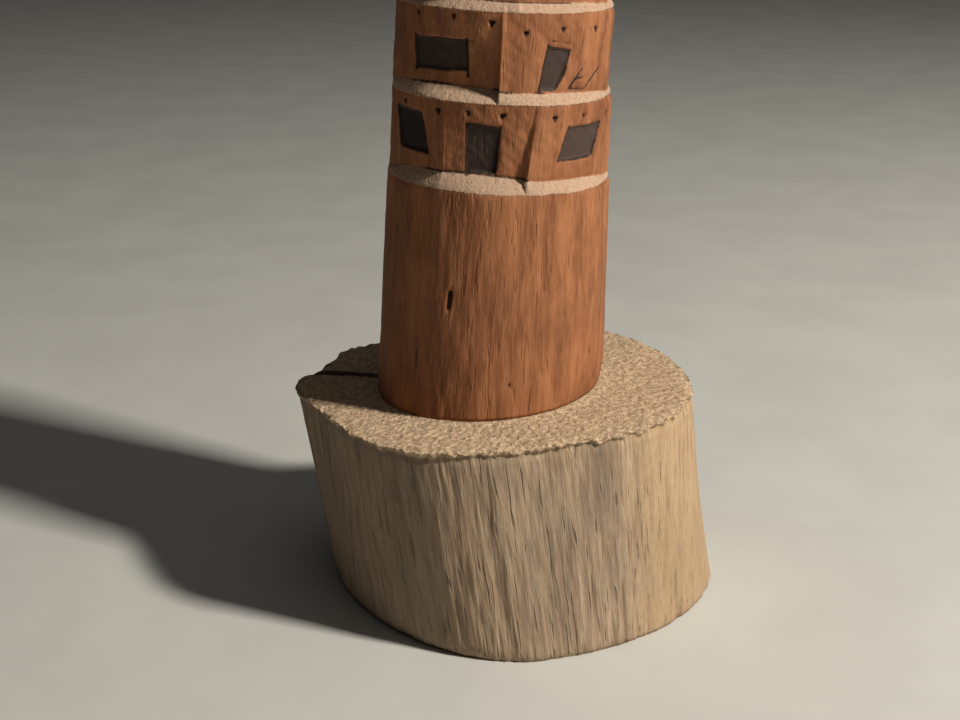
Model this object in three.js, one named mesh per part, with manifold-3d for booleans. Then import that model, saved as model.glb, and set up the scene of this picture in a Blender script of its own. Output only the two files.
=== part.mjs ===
// A carved wooden kachina doll on a sawn section of log. Millimetres, +Z up, the front looks along -Y.
//
// The doll is one carving. A plain round drum carries three storeys of a pueblo, each cut back behind the
// ledge below it, and a figure in a wrapped blanket stands on the top one, with a ruff, a round helmet mask
// and a low stepped crest. Azimuths are in degrees from the front, positive towards +X.
import * as THREE from 'three';
import { mergeVertices } from 'three/addons/utils/BufferGeometryUtils.js';
import Module from 'manifold-3d';

const wasm = await Module();
wasm.setup();

const { degToRad, radToDeg, euclideanModulo, lerp, clamp, smoothstep } = THREE.MathUtils;

// ---- The log base ----
const BASE_HEIGHT = 44; // under the middle of the doll's foot
const TOP_SLOPE = 3.4; // degrees that the sawn top rises towards +X
const SEAT_GAP = 0.3; // glue line between the doll's foot and the log

// An outline is round, drawn out to an oval, with three gentle corners and four gentle sides. Each swell has
// its height and the azimuth of its first crest.
const TOP_OUTLINE = { x: 1.1, y: -1.2, radius: 36.4, oval: [2.8, 75], corners: [1.25, 2], sides: [-1.65, 14] };
const FOOT_OUTLINE = { x: 6.9, y: 0, radius: 36.4, oval: [3.0, 91], corners: [1.7, -1], sides: [-0.5, 26] };
const LOG_COLUMNS = 60;
const LOG_LEVELS = [0, 0.04, 0.35, 0.68, 1]; // shares of the log's height
const WORN_EDGE = { depth: 0.8, azimuth: -45, spread: 40 }; // the lower edge is worn in at the front left

// The log swells out into a lip beside its drying crack, which runs in from the rim towards the heart
const LIP = { height: 1.6, azimuth: -92, spread: 11 };
const CRACK = { azimuth: -107, mouth: 3.2, reach: 17, foot: 9, footReach: 3.4 };

// ---- The doll ----
const FOOT_DIAMETER = 45;
const TAPER = 0.0635; // diameter lost with each millimetre of height
const LEAN = 2.3; // degrees that the doll leans towards +X
const FOOT_WEAR = { depth: 1.3, height: 8, azimuth: 95 }; // the foot's edge is rounded on one side

// A storey stands between the ledge at its foot and its own roof line. Its walls are blocks side by side:
// where each starts at its foot and at its roof, how deep it is cut at its start and its end, and how much
// of a straight chord its wall keeps.
const STOREYS = [
  {
    ledge: 42.8,
    roof: 58.7,
    blocks: [
      { foot: -82, top: -80, cut: [0.2, 1.1], flat: 0.4 },
      { foot: -31, top: -30, cut: [1.3, 2.0], flat: 0.4 },
      { foot: 13, top: 17, cut: [0.6, 0.35], flat: 0.3 },
      { foot: 86, top: 85, cut: [0.35, 1.2], flat: 0.35 },
      { foot: 140, top: 142, cut: [0.5, 0.7], flat: 0.3 },
      { foot: 215, top: 212, cut: [1.6, 0.2], flat: 0.35 },
    ],
  },
  {
    ledge: 58.7,
    roof: 74.5,
    blocks: [
      { foot: -84, top: -83, cut: [0.2, 0.8], flat: 0.4 },
      { foot: -55, top: -57, cut: [0.8, 2.3], flat: 0.5 },
      { foot: -3, top: -3, cut: [0.5, 0.6], flat: 0.3 },
      { foot: 68, top: 70, cut: [0.9, 1.0], flat: 0.35 },
      { foot: 128, top: 126, cut: [0.4, 0.6], flat: 0.3 },
      { foot: 200, top: 203, cut: [1.7, 0.2], flat: 0.35 },
    ],
  },
  {
    ledge: 74.5,
    roof: 90.3,
    blocks: [
      { foot: -68, top: -66, cut: [0.4, 0.7], flat: 0.3 },
      { foot: 6, top: 5, cut: [1.5, 0.9], flat: 0.3 },
      { foot: 64, top: 66, cut: [0.3, 0.5], flat: 0.3 },
      { foot: 150, top: 148, cut: [1.5, 1.1], flat: 0.35 },
      { foot: 222, top: 224, cut: [0.3, 0.6], flat: 0.3 },
    ],
  },
];
const LEDGE_RISE = { least: 0.4, perCut: 1.05 }; // height of the sloping ledge, more where the wall is cut deeper
const CUT_FADE = 0.8; // how slowly a wall's cut runs out on its way up to the round roof line

// Windows and doors: azimuths of the two lower corners and the two upper ones, and their heights
const OPENINGS = [
  { lower: [-66, -42], upper: [-71, -46], sill: 48.4, head: 55.9 },
  { lower: [-18.5, -2], upper: [-18.5, -1], sill: 46, head: 54.8 },
  { lower: [31.5, 58.5], upper: [36, 64], sill: 48.5, head: 54.5 },
  { lower: [96, 112], upper: [95, 111], sill: 45.6, head: 54 },
  { lower: [158, 186], upper: [159, 187], sill: 48.4, head: 54.4 },
  { lower: [232, 256], upper: [231, 255], sill: 48.6, head: 54.6 },
  { lower: [-52.5, -21], upper: [-53.5, -21], sill: 63.6, head: 69.2 },
  { lower: [19, 29], upper: [22, 36.5], sill: 61.2, head: 68.6 },
  { lower: [86, 108], upper: [86, 108], sill: 64.2, head: 69.6 },
  { lower: [146, 162], upper: [147, 163], sill: 61.2, head: 69.2 },
  { lower: [216, 242], upper: [215, 241], sill: 64, head: 69.6 },
  { lower: [-50, -34], upper: [-49, -33], sill: 77, head: 85 },
  { lower: [20, 46], upper: [21, 47], sill: 80, head: 85.4 },
  { lower: [92, 118], upper: [91, 117], sill: 79.8, head: 85.2 },
  { lower: [172, 188], upper: [172, 188], sill: 77, head: 85 },
  { lower: [240, 266], upper: [241, 267], sill: 79.8, head: 85.4 },
];
const PANE_DEPTH = 0.55;

// Rows of poked holes where the roof beams come through, one row under each roof line
const BEAM_ROWS = [
  { height: 56.7, azimuths: [-60, -35, -17.5, 0, 26.5, 46, 71, 95, 119, 142, 168, 192, 216, 240, 264] },
  { height: 72, azimuths: [-52, -28.5, -7.5, 9.5, 30, 54, 79, 104, 128, 151, 176, 201, 226, 249, 281] },
  { height: 87.8, azimuths: [-58, -34, -12, 12, 34, 58, 82, 106, 131, 156, 181, 206, 231, 256, 279] },
];
const BEAM_HOLE = { width: 1.3, drop: 1.2, depth: 0.8, narrowing: 0.3 };

// The figure on the roofs. Its heights follow one another from the hem to the top of the crest.
const HEM = { height: 92.6, halfWidth: 18, halfDepth: 17.7 };
const ARMS = { height: 130, halfWidth: 17.3, halfDepth: 14.6, swell: 1.4, at: 119, rise: 11, spread: 62 };
const NECK = { height: 151, halfWidth: 10.4, halfDepth: 9.8 };
const BLANKET = { edge: 0.9, foot: -6, neck: 10, runsOut: [60, 150], fade: 12 };
const FOLDS = { count: 9, depth: 0.45, from: 50, to: 80 };
const RUFF = { height: 158, radius: 15.4, waist: 11.8, cuts: 15, cutDepth: 0.8, slant: 4 };
const MASK = { height: 183, radius: 13.1, bulge: 0.5 };
const CREST = { height: 190, halfWidth: 12.6, halfDepth: 3.2, squareness: 5, steps: 3, rise: 5, tread: 3.9 };

// Slit eyes and a small mouth, sunk like the windows
const FACE = [
  { lower: [13, 36], upper: [13, 36], sill: 172.2, head: 174.4 },
  { lower: [-36, -13], upper: [-36, -13], sill: 172.2, head: 174.4 },
  { lower: [-8, 8], upper: [-5, 5], sill: 163.6, head: 165.8 },
];

// ---- Rings of corners ----
const COLUMN_SPACING = 7.5; // degrees between the doll's columns of corners
const RUFF_SPACING = 6; // closer, so that each cut in the ruff has its own crest and valley
const HALF_STEP = 0.4; // half the width of an upright step in a wall
const DRUM_RINGS = [8, 24, 38];
const WALL_SHARES = [0, 0.35, 0.7, 0.94];
const ROBE_SHARES = [0, 0.18, 0.34, 0.46, 0.58, 0.72, 0.83, 0.92, 0.98];
const RUFF_SHARES = [0, 0.12, 0.3, 0.5, 0.7, 0.88, 0.99];
const MASK_SHARES = [0, 0.25, 0.5, 0.75, 0.99];
const CROWN_SHARES = [0.35, 0.6, 0.8, 0.92, 0.98];

// Brings an azimuth into the turn from -180 to 180
function wrapped(azimuth) {
  return euclideanModulo(azimuth + 180, 360) - 180;
}

// Turns corner points and triangles into a solid with shared vertices
function toSolid(points, triangles) {
  const geometry = new THREE.BufferGeometry().setFromPoints(points);
  geometry.setIndex(triangles);
  const merged = mergeVertices(geometry, 1e-4);
  return new wasm.Manifold(new wasm.Mesh({
    numProp: 3,
    vertProperties: new Float32Array(merged.attributes.position.array),
    triVerts: new Uint32Array(merged.index.array),
  }));
}

// Skins rings of corners, lowest first, and closes both ends on their middles. Rings may differ in how many
// corners they have: each next triangle goes to the ring whose next corner has the smaller mark.
function skinRings(rings) {
  const points = rings.flatMap((ring) => ring.map((corner) => corner.point));
  const triangles = [];
  const starts = rings.map((_, level) => rings.slice(0, level).reduce((sum, ring) => sum + ring.length, 0));
  const vertex = (level, index) => starts[level] + (index % rings[level].length);
  const markOf = (ring, index) => {
    const turns = Math.floor(index / ring.length);
    return index > ring.length ? Infinity : ring[index % ring.length].mark + 360 * turns;
  };
  for (let level = 0; level + 1 < rings.length; level += 1) {
    const [lower, upper] = [rings[level], rings[level + 1]];
    let [i, j] = [0, 0];
    while (i < lower.length || j < upper.length) {
      if (markOf(lower, i + 1) <= markOf(upper, j + 1)) {
        triangles.push(vertex(level, i), vertex(level, i + 1), vertex(level + 1, j));
        i += 1;
      } else {
        triangles.push(vertex(level, i), vertex(level + 1, j + 1), vertex(level + 1, j));
        j += 1;
      }
    }
  }
  for (const level of [0, rings.length - 1]) {
    const ring = rings[level];
    const sum = ring.reduce((total, corner) => total.add(corner.point), new THREE.Vector3());
    const centre = points.push(sum.divideScalar(ring.length)) - 1;
    const [first, second] = level === 0 ? [1, 0] : [0, 1];
    ring.forEach((_, i) => triangles.push(centre, vertex(level, i + first), vertex(level, i + second)));
  }
  return toSolid(points, triangles);
}

// A solid between two polygons with the same number of corners, each anticlockwise seen from the second
function between(near, far) {
  const ring = (polygon) => polygon.map((point, index) => ({ point, mark: (360 * index) / polygon.length }));
  return skinRings([ring(near), ring(far)]);
}

// ---- The log ----

function outlinePoint(outline, azimuth, lip = 0) {
  const swell = (count, [height, crest]) => height * Math.cos(count * degToRad(azimuth - crest));
  const bulge = lip * Math.exp(-((wrapped(azimuth - LIP.azimuth) / LIP.spread) ** 2));
  const oval = outline.radius + swell(2, outline.oval);
  const radius = oval + swell(3, outline.corners) + swell(4, outline.sides) + bulge;
  const angle = degToRad(azimuth);
  return new THREE.Vector2(outline.x + radius * Math.sin(angle), outline.y - radius * Math.cos(angle));
}

function topHeight(x) {
  return BASE_HEIGHT + x * Math.tan(degToRad(TOP_SLOPE));
}

// The log's side runs straight from the foot outline to the top outline, so it leans as the tree did
function logRing(level) {
  return Array.from({ length: LOG_COLUMNS }, (_, index) => {
    const azimuth = (360 * index) / LOG_COLUMNS - 180;
    const foot = outlinePoint(FOOT_OUTLINE, azimuth);
    const place = foot.clone().lerp(outlinePoint(TOP_OUTLINE, azimuth, LIP.height), level);
    const side = Math.exp(-((wrapped(azimuth - WORN_EDGE.azimuth) / WORN_EDGE.spread) ** 2));
    const inwards = new THREE.Vector2(FOOT_OUTLINE.x, FOOT_OUTLINE.y).sub(foot).normalize();
    place.addScaledVector(inwards, level === 0 ? WORN_EDGE.depth * side : 0);
    return { mark: azimuth, point: new THREE.Vector3(place.x, place.y, level * topHeight(place.x)) };
  });
}

// The crack is a wedge, wide at the rim, that follows the log's lean and runs out towards its foot
function crackWedge() {
  const clearance = 6; // how far the cut starts outside the log
  const slice = (outline, mouth, reach, height) => {
    const rim = outlinePoint(outline, CRACK.azimuth);
    const outwards = new THREE.Vector2(outline.x, outline.y).sub(rim).normalize().negate();
    const across = new THREE.Vector2(-outwards.y, outwards.x).multiplyScalar(mouth / 2);
    const outer = rim.clone().addScaledVector(outwards, clearance);
    const inner = rim.clone().addScaledVector(outwards, -reach);
    const corners = [inner, outer.clone().sub(across), outer.clone().add(across)];
    return corners.map((corner) => new THREE.Vector3(corner.x, corner.y, height));
  };
  const lower = slice(FOOT_OUTLINE, CRACK.mouth / 4, CRACK.footReach, CRACK.foot);
  const upper = slice(TOP_OUTLINE, CRACK.mouth, CRACK.reach, BASE_HEIGHT + clearance);
  return between(lower, upper);
}

function logSolid() {
  return skinRings(LOG_LEVELS.map(logRing)).subtract(crackWedge());
}

// ---- The doll's skin ----

function trunkRadius(height) {
  return (FOOT_DIAMETER - TAPER * height) / 2;
}

// The wall block that an azimuth falls in, with its ends at the given share of the wall's height
function blockAt(storey, azimuth, share) {
  const starts = storey.blocks.map((block) => lerp(block.foot, block.top, share));
  const turned = starts[0] + euclideanModulo(azimuth - starts[0], 360);
  const index = starts.findLastIndex((start) => start <= turned);
  return { ...storey.blocks[index], start: starts[index], end: starts[index + 1] ?? starts[0] + 360, turned };
}

// How deep a wall is cut behind the trunk's round, at a share of its height from the ledge to the roof line.
// A flat wall is cut deeper in its middle, by its part of the distance from the round to a straight chord.
function wallCut(storey, azimuth, share) {
  const { cut, flat, start, end, turned } = blockAt(storey, azimuth, share);
  const halfSpan = degToRad(end - start) / 2;
  const fromMiddle = degToRad(turned - (start + end) / 2);
  const chord = trunkRadius(storey.ledge) * (1 - Math.cos(halfSpan) / Math.cos(fromMiddle));
  const depth = lerp(cut[0], cut[1], (turned - start) / (end - start)) + flat * chord;
  return depth * Math.max(0, 1 - share) ** CUT_FADE;
}

function wallFoot(storey, azimuth) {
  return storey.ledge + LEDGE_RISE.least + LEDGE_RISE.perCut * wallCut(storey, azimuth, 0);
}

// From 1 at the start of a quarter ellipse to 0 at its end
function quarterRound(share) {
  return Math.sqrt(Math.max(0, 1 - share * share));
}

// Half width, half depth and squareness of the doll at a height
function section(height) {
  const shareOf = (from, to) => (height - from) / (to - from);
  const blend = (from, to, share, squareness = 2) => ({
    halfWidth: lerp(from.halfWidth, to.halfWidth, share),
    halfDepth: lerp(from.halfDepth, to.halfDepth, share),
    squareness,
  });
  const round = (radius) => ({ halfWidth: radius, halfDepth: radius, squareness: 2 });
  if (height < HEM.height) {
    return round(trunkRadius(height));
  }
  if (height < ARMS.height) {
    return blend(HEM, ARMS, shareOf(HEM.height, ARMS.height));
  }
  if (height < NECK.height) {
    return blend(NECK, ARMS, quarterRound(shareOf(ARMS.height, NECK.height)));
  }
  if (height < RUFF.height) {
    const fromMiddle = 2 * shareOf(NECK.height, RUFF.height) - 1;
    return round(lerp(RUFF.waist, RUFF.radius, quarterRound(fromMiddle)));
  }
  if (height < MASK.height) {
    return round(MASK.radius + MASK.bulge * Math.sin(Math.PI * shareOf(RUFF.height, MASK.height)));
  }
  if (height < CREST.height) {
    const share = shareOf(MASK.height, CREST.height);
    return blend(CREST, round(MASK.radius), quarterRound(share), lerp(2, CREST.squareness, share ** 3));
  }
  const step = clamp(Math.floor((height - CREST.height) / CREST.rise), 0, CREST.steps - 1);
  return { ...CREST, halfWidth: CREST.halfWidth - step * CREST.tread };
}

function blanketEdge(height) {
  return lerp(BLANKET.foot, BLANKET.neck, (height - HEM.height) / (NECK.height - HEM.height));
}

// The drum is plain, with its lowest edge rounded on one side
function drumRelief(azimuth, height) {
  const low = Math.max(0, 1 - height / FOOT_WEAR.height);
  return -FOOT_WEAR.depth * low * low * Math.max(0, Math.cos(degToRad(azimuth - FOOT_WEAR.azimuth)));
}

// A sloping ledge up to the wall's foot, and the wall above it
function storeyRelief(storey, azimuth, height) {
  const foot = wallFoot(storey, azimuth);
  if (height < foot) {
    return -wallCut(storey, azimuth, 0) * (height - storey.ledge) / (foot - storey.ledge);
  }
  return -wallCut(storey, azimuth, (height - foot) / (storey.roof - foot));
}

// The blanket laps over itself at the front, hangs in folds at the back, and the arms swell under it
function robeRelief(azimuth, height) {
  const lap = azimuth > blanketEdge(height) ? 1 - smoothstep(azimuth, ...BLANKET.runsOut) : 0;
  const back = smoothstep(Math.abs(azimuth), FOLDS.from, FOLDS.to);
  const fold = FOLDS.depth * back * (0.5 + 0.5 * Math.cos(degToRad(azimuth * FOLDS.count)));
  const arms = Math.exp(-(((height - ARMS.at) / ARMS.rise) ** 2) - (azimuth / ARMS.spread) ** 2);
  const fade = 1 - smoothstep(height, NECK.height - BLANKET.fade, NECK.height);
  return (BLANKET.edge * lap - fold + ARMS.swell * arms) * fade;
}

// Slanting cuts round the ruff, deepest at its widest
function ruffRelief(azimuth, height) {
  const middle = (NECK.height + RUFF.height) / 2;
  const slanted = degToRad((azimuth + RUFF.slant * (height - middle)) * RUFF.cuts);
  const widest = 1 - Math.abs(height - middle) / (RUFF.height - middle);
  return -RUFF.cutDepth * widest * (0.5 + 0.5 * Math.cos(slanted));
}

// What stands proud of the doll's plain section, or is cut below it
function relief(azimuth, height) {
  const storey = STOREYS.find(({ ledge, roof }) => height >= ledge && height < roof);
  if (storey) {
    return storeyRelief(storey, azimuth, height);
  }
  if (height < STOREYS[0].ledge) {
    return drumRelief(azimuth, height);
  }
  if (height >= HEM.height && height < NECK.height) {
    return robeRelief(azimuth, height);
  }
  return height >= NECK.height && height < RUFF.height ? ruffRelief(azimuth, height) : 0;
}

function skinPoint(azimuth, height) {
  const { halfWidth, halfDepth, squareness } = section(height);
  const proud = relief(wrapped(azimuth), height);
  const even = (value) => Math.sign(value) * Math.abs(value) ** (2 / squareness);
  const x = (halfWidth + proud) * even(Math.sin(degToRad(azimuth)));
  const y = -(halfDepth + proud) * even(Math.cos(degToRad(azimuth)));
  return new THREE.Vector3(x, y, height);
}

// A ring of even columns
function plainRing(height, spacing = COLUMN_SPACING) {
  return Array.from({ length: 360 / spacing }, (_, index) => {
    const azimuth = index * spacing - 180;
    return { mark: azimuth, point: skinPoint(azimuth, height) };
  });
}

// A ring whose columns keep to blocks, from just after each block's start to just before the next one's, so
// that the wall steps there. All rings of a storey carry the marks of its foot, which keeps steps whole.
function blockRing(blocks, share, heightAt) {
  const marks = blocks.map((block) => block.foot);
  const starts = blocks.map((block) => lerp(block.foot, block.top, share));
  const corners = blocks.flatMap((_, index) => {
    const span = (list) => [list[index] + HALF_STEP, (list[index + 1] ?? list[0] + 360) - HALF_STEP];
    const count = Math.max(2, Math.round((span(marks)[1] - span(marks)[0]) / COLUMN_SPACING));
    return Array.from({ length: count + 1 }, (__, column) => {
      const azimuth = lerp(...span(starts), column / count);
      return { mark: wrapped(lerp(...span(marks), column / count)), point: skinPoint(azimuth, heightAt(azimuth)) };
    });
  });
  return corners.sort((a, b) => a.mark - b.mark);
}

function storeyRings(storey) {
  const heightAt = (share) => (azimuth) => lerp(wallFoot(storey, azimuth), storey.roof, share);
  const walls = WALL_SHARES.map((share) => blockRing(storey.blocks, share, heightAt(share)));
  return [plainRing(storey.ledge), ...walls];
}

function robeRings() {
  const blocks = [{ foot: BLANKET.foot, top: BLANKET.neck }, { foot: 180, top: 180 }];
  return ROBE_SHARES.map((share) => blockRing(blocks, share, () => lerp(HEM.height, NECK.height, share)));
}

function headRings() {
  const ruff = RUFF_SHARES.map((share) => plainRing(lerp(NECK.height, RUFF.height, share), RUFF_SPACING));
  const mask = MASK_SHARES.map((share) => plainRing(lerp(RUFF.height, MASK.height, share)));
  const crown = CROWN_SHARES.map((share) => plainRing(lerp(MASK.height, CREST.height, share)));
  const crest = Array.from({ length: CREST.steps }, (_, step) => {
    const foot = CREST.height + step * CREST.rise;
    return [plainRing(foot + 0.01), plainRing(foot + CREST.rise - 0.01)];
  });
  return [...ruff, ...mask, ...crown, ...crest.flat()];
}

// The foot is sawn to the slope of the log's top, so the doll leans on it
function footRing() {
  const slope = Math.tan(degToRad(LEAN + TOP_SLOPE));
  return plainRing(0).map(({ mark, point }) => ({ mark, point: point.setZ(point.x * slope) }));
}

// ---- Cuts in the skin ----

// The skin's point moved out along its azimuth, or in where the distance is negative
function pushed(azimuth, height, distance) {
  const point = skinPoint(azimuth, height);
  return point.addScaledVector(new THREE.Vector3(point.x, point.y, 0).normalize(), distance);
}

function openingCut({ lower, upper, sill, head }) {
  const clearance = 3;
  const corners = [[lower[0], sill], [lower[1], sill], [upper[1], head], [upper[0], head]];
  const inner = corners.map(([azimuth, height]) => pushed(azimuth, height, -PANE_DEPTH));
  const outer = corners.map(([azimuth, height]) => pushed(azimuth, height, clearance));
  return between(inner, outer);
}

// Each hole is a three-sided poke of a knife, point down
function beamHoles() {
  const clearance = 0.4;
  const half = BEAM_HOLE.width / 2;
  return BEAM_ROWS.flatMap(({ height, azimuths }) => azimuths.map((azimuth) => {
    const turn = radToDeg(half / trunkRadius(height));
    const corners = [[0, -half * BEAM_HOLE.drop], [turn, half], [-turn, half]];
    const poke = (scale, distance) => corners.map(([side, up]) => (
      pushed(azimuth + side * scale, height + up * scale, distance)));
    return between(poke(BEAM_HOLE.narrowing, -BEAM_HOLE.depth), poke(1, clearance));
  }));
}

function dollSolid() {
  const walls = STOREYS.flatMap(storeyRings);
  const roof = plainRing(STOREYS.at(-1).roof);
  const drum = DRUM_RINGS.map((height) => plainRing(height));
  const blank = skinRings([footRing(), ...drum, ...walls, roof, ...robeRings(), ...headRings()]);
  const cuts = [...[...OPENINGS, ...FACE].map(openingCut), ...beamHoles()];
  return cuts.reduce((solid, cut) => solid.subtract(cut), blank);
}

// ---- Named meshes ----

function meshOf(name, solid, color, roughness) {
  const { vertProperties, triVerts } = solid.getMesh();
  const geometry = new THREE.BufferGeometry();
  geometry.setAttribute('position', new THREE.BufferAttribute(new Float32Array(vertProperties), 3));
  geometry.setIndex(new THREE.BufferAttribute(new Uint32Array(triVerts), 1));
  geometry.computeVertexNormals();
  const mesh = new THREE.Mesh(geometry, new THREE.MeshStandardMaterial({ color, roughness, metalness: 0 }));
  mesh.name = name;
  return mesh;
}

const logBase = meshOf('log_base', logSolid(), 0xaf8f6e, 0.9);

const doll = meshOf('doll_figure', dollSolid(), 0xad764f, 0.7);
doll.position.z = BASE_HEIGHT + SEAT_GAP;
doll.rotation.y = degToRad(LEAN);

// The origin lies under the middle of the whole work's box
const kachinaDoll = new THREE.Group();
kachinaDoll.add(logBase, doll);
kachinaDoll.updateMatrixWorld(true);
const middle = new THREE.Box3().setFromObject(kachinaDoll, true).getCenter(new THREE.Vector3());
kachinaDoll.position.set(-middle.x, -middle.y, 0);

export default kachinaDoll;
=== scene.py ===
"""A carved kachina doll on a sawn section of weathered log, in a plain studio.

The doll is one carving in stained cottonwood root: a plain drum, three storeys of a pueblo cut back one above
the other, and a figure in a wrapped blanket, with a ruff, a helmet mask and a stepped crest. Both pieces keep
the form of their CAD solids and are worked out again as fine surfaces. Sizes are in millimetres and azimuths
in degrees from the front, positive towards +X, until a mesh is made.
"""
import math

import bpy
import numpy as np
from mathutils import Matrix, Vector


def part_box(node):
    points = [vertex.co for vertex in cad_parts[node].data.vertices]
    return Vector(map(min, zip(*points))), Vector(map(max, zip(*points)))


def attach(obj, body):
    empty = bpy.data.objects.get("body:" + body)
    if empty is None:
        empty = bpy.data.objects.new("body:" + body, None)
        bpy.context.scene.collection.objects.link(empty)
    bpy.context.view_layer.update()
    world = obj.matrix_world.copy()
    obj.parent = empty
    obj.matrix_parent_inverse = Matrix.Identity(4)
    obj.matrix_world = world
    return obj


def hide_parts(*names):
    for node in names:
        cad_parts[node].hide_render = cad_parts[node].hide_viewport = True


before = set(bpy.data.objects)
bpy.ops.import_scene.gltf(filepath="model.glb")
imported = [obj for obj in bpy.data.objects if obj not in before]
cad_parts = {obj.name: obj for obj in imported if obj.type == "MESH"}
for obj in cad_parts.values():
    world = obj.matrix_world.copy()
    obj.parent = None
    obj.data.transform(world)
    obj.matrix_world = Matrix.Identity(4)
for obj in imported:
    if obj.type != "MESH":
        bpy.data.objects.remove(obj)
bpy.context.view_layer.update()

MM = 0.001

# ---- The doll's sizes ----
FOOT_RADIUS = 22.5
TAPER = 0.03175  # radius lost with each millimetre of height
LEAN = 2.3
TOP_SLOPE = 3.4
FOOT_WEAR = dict(depth=1.3, height=8, azimuth=95)

# The blocks of each storey: azimuth at the wall's foot and at its roof, depth of the cut at its start and its
# end, and the part of a straight chord that the wall keeps. At the front the wall's foot follows its own line
# of azimuths and heights, and the rim of the ledge below it is worn by a depth about an azimuth.
STOREYS = [
    dict(ledge=42.8, roof=58.7, wear=(0.35, 80), blocks=[
        (-82, -80, 0.05, 1.1, 0.45), (-31, -30, 1.3, 2.0, 0.5), (13, 17, 0.6, 0.35, 0.3),
        (86, 85, 0.35, 1.2, 0.35), (140, 142, 0.5, 0.7, 0.3), (215, 212, 1.6, 0.05, 0.35)],
        foot=[(-85, 43.4), (-72, 44.4), (-60, 45.1), (-48, 45.5), (-30, 45.8), (-12, 45.8), (6, 45.4), (20, 45.0),
              (32, 44.9), (50, 44.7), (65, 44.3), (78, 43.6)]),
    dict(ledge=58.7, roof=74.5, wear=(0.55, 82), blocks=[
        (-84, -83, 0.05, 0.8, 0.4), (-55, -57, 0.6, 2.6, 0.6), (-3, -3, 0.5, 0.6, 0.3),
        (68, 70, 0.3, 0.9, 0.2), (128, 126, 0.4, 0.6, 0.3), (200, 203, 1.7, 0.05, 0.35)],
        foot=[(-85, 59.6), (-72, 60.5), (-60, 61.0), (-40, 61.1), (-20, 61.0), (-8, 60.9), (0, 60.7), (15, 60.6),
              (35, 60.5), (55, 60.2), (70, 59.9), (82, 59.3)]),
    dict(ledge=74.5, roof=90.3, wear=(0.4, 85), blocks=[
        (-68, -66, 0.4, 0.7, 0.3), (6, 5, 1.5, 0.9, 0.3), (64, 66, 0.3, 0.5, 0.3),
        (150, 148, 1.5, 1.1, 0.35), (222, 224, 0.3, 0.6, 0.3)],
        foot=[(-85, 75.3), (-60, 76.0), (-30, 76.3), (0, 76.15), (20, 76.0), (45, 75.9), (70, 75.6), (85, 75.2)]),
]
LEDGE_LEAST, LEDGE_PER_CUT = 0.4, 1.05
BOW = dict(depth=0.3, height=40)  # the trunk bows a little towards -X as it rises
CUT_FADE = 0.8

# Windows and doors of the lowest storey, of the middle one and of the top one, then the mask's two eyes and its
# mouth: corners as azimuth and height, anticlockwise, and how grey the paint is from 0, near black, to 1
OPENINGS = [
    ([(-66, 48.4), (-42, 48.4), (-46, 55.9), (-71, 55.9)], 0.0),
    ([(-18.6, 46), (-2.6, 46), (-1.4, 54.7), (-18.8, 54.9)], 0.45),
    ([(31.5, 48.5), (58, 48.5), (63.5, 54.8), (36, 54.5)], 1.0),
    ([(96, 45.6), (112, 45.6), (111, 54), (95, 54)], 0.5),
    ([(158, 48.4), (186, 48.4), (187, 54.4), (159, 54.4)], 0.8),
    ([(232, 48.6), (256, 48.6), (255, 54.6), (231, 54.6)], 0.2),
    ([(-53, 63.4), (-21.4, 63.8), (-21.6, 69.4), (-54.6, 69.0)], 0.55),
    ([(18.8, 61.0), (28.1, 60.9), (32.8, 63.7), (36.6, 68.2), (22, 68.9)], 0.7),
    ([(86, 64.2), (108, 64.2), (108, 69.6), (86, 69.6)], 0.6),
    ([(146, 61.2), (162, 61.2), (163, 69.2), (147, 69.2)], 0.4),
    ([(216, 64), (242, 64), (241, 69.6), (215, 69.6)], 0.5),
    ([(-50, 77), (-34, 77), (-33, 85), (-49, 85)], 0.4),
    ([(20, 80), (46, 80), (47, 85.4), (21, 85.4)], 0.8),
    ([(92, 79.8), (118, 79.8), (117, 85.2), (91, 85.2)], 0.6),
    ([(172, 77), (188, 77), (188, 85), (172, 85)], 0.5),
    ([(240, 79.8), (266, 79.8), (267, 85.4), (241, 85.4)], 0.3),
    ([(13, 172.2), (36, 172.2), (36, 174.4), (13, 174.4)], 0.0),
    ([(-36, 172.2), (-13, 172.2), (-13, 174.4), (-36, 174.4)], 0.0),
    ([(-8, 163.6), (8, 163.6), (5, 165.8), (-5, 165.8)], 0.0),
]
PANE_DEPTH = 0.5

BEAM_ROWS = [
    [(-60, 57), (-35, 56.6), (-17.7, 56.8), (0, 56.6), (26.7, 56.2), (45.8, 56.2), (70.9, 55.6), (95, 56.7),
     (119, 56.7), (142, 56.7), (168, 56.7), (192, 56.7), (216, 56.7), (240, 56.7), (264, 56.7)],
    [(-52, 73), (-28.5, 73.1), (-7.6, 72.5), (9.7, 70.9), (29.8, 71.5), (53.8, 71.3), (79, 72), (104, 72),
     (128, 72), (151, 72), (176, 72), (201, 72), (226, 72), (249, 72), (281, 72)],
    [(azimuth, 87.8) for azimuth in (-58, -34, -12, 12, 34, 58, 82, 106, 131, 156, 181, 206, 231, 256, 279)],
]
BEAM_HOLE = dict(width=1.3, drop=1.2, depth=0.8)

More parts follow.
